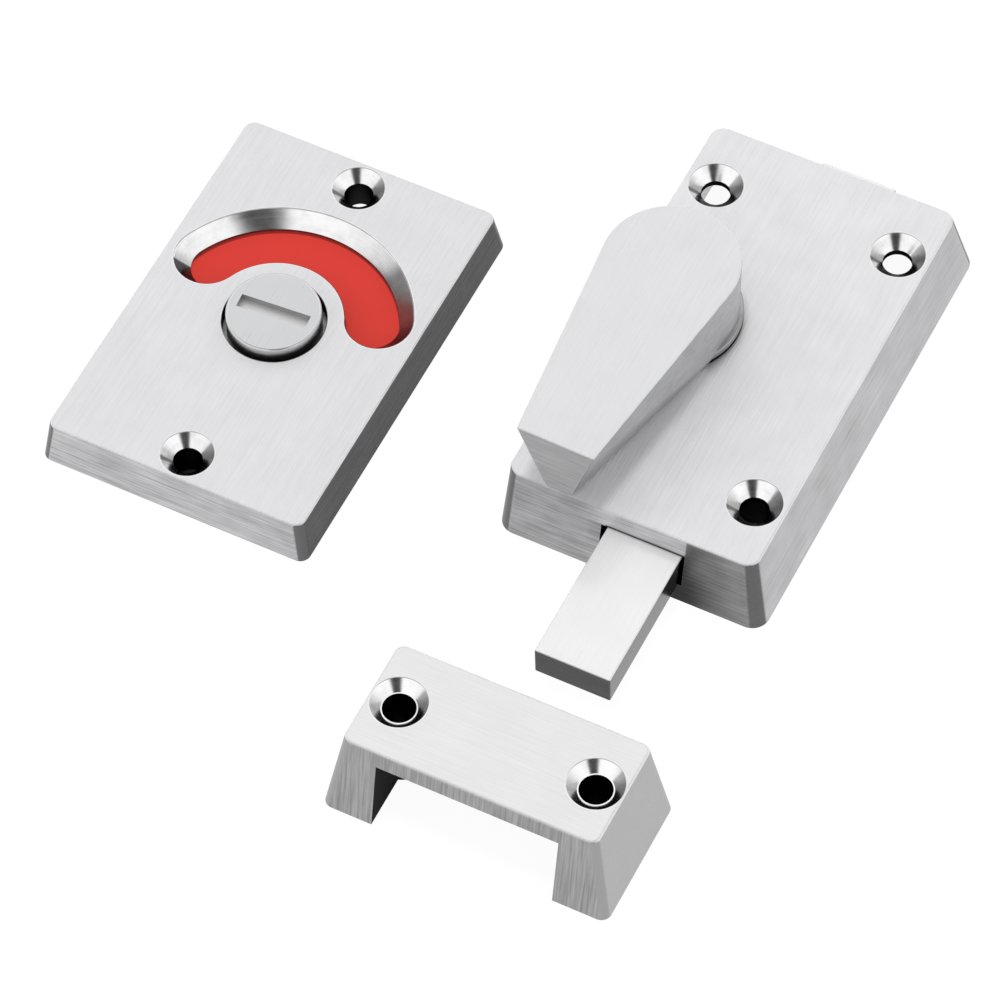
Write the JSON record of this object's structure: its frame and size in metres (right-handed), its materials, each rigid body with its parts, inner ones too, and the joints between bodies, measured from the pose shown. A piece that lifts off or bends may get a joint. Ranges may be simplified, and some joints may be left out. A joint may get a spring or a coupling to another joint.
{
  "type": "toilet indicator bolt",
  "caption": "Surface door bolt for a toilet: lock case with turn lever and sliding bolt, outside plate with red or green indicator and coin release, and a bridge keeper.",
  "frame": {"origin": "below the middle of the lock case's face, on the plane the three pieces lie on", "axes": "+X across the case, from the lever's side to the bolt's side; +Y along the bolt, the way it opens; +Z out of the face"},
  "size_m": [0.1137, 0.1333, 0.0257],
  "materials": {
    "satin_steel": "satin brushed",
    "bolt_steel": "polished",
    "machined_steel": "machined",
    "sheet_steel": "plain sheet",
    "spring_steel": "hardened",
    "dark_steel": "blackened",
    "nylon": "matt",
    "black_nylon": "matt",
    "red": "flat colour",
    "green": "flat colour"
  },
  "bodies": {
    "fixed_parts": {"lock_case": "satin_steel", "case_back_plate": "sheet_steel", "back_plate_screws": "dark_steel", "upper_bush": "nylon", "lower_bush": "nylon", "friction_spring": "spring_steel", "lever_washer": "black_nylon", "indicator_plate": "satin_steel", "spring_washer": "spring_steel", "disc_stop_pin": "dark_steel", "plate_back_cover": "sheet_steel", "cover_screws": "dark_steel", "keeper": "satin_steel"},
    "lever": {"turn_lever": "satin_steel", "drive_pinion": "machined_steel", "lever_grub_screw": "dark_steel"},
    "bolt": {"bolt": "bolt_steel", "bolt_stop_pin": "dark_steel"},
    "indicator": {"release_knob": "satin_steel", "indicator_disc": "sheet_steel", "red_sector": "red", "green_sector": "green", "disc_circlip": "spring_steel"}
  },
  "joints": [
    {"name": "lever_turn", "type": "hinge", "parent": "fixed_parts", "child": "lever", "pos_m": [-0.0108, 0, 0], "axis": [0, 0, 1], "range_deg": [0, 180]},
    {"name": "bolt_slide", "type": "slide", "parent": "fixed_parts", "child": "bolt", "axis": [0, 1, 0], "range_m": [0, 0.02356]},
    {"name": "indicator_turn", "type": "hinge", "parent": "fixed_parts", "child": "indicator", "pos_m": [-0.0666, -0.0239, 0], "axis": [0, 0, 1], "range_deg": [-180, 0]}
  ],
  "couplings": [
    {"joint": "bolt_slide", "follows": "lever_turn", "m_per_rad": 0.0075},
    {"joint": "indicator_turn", "follows": "lever_turn", "ratio": -1}
  ]
}
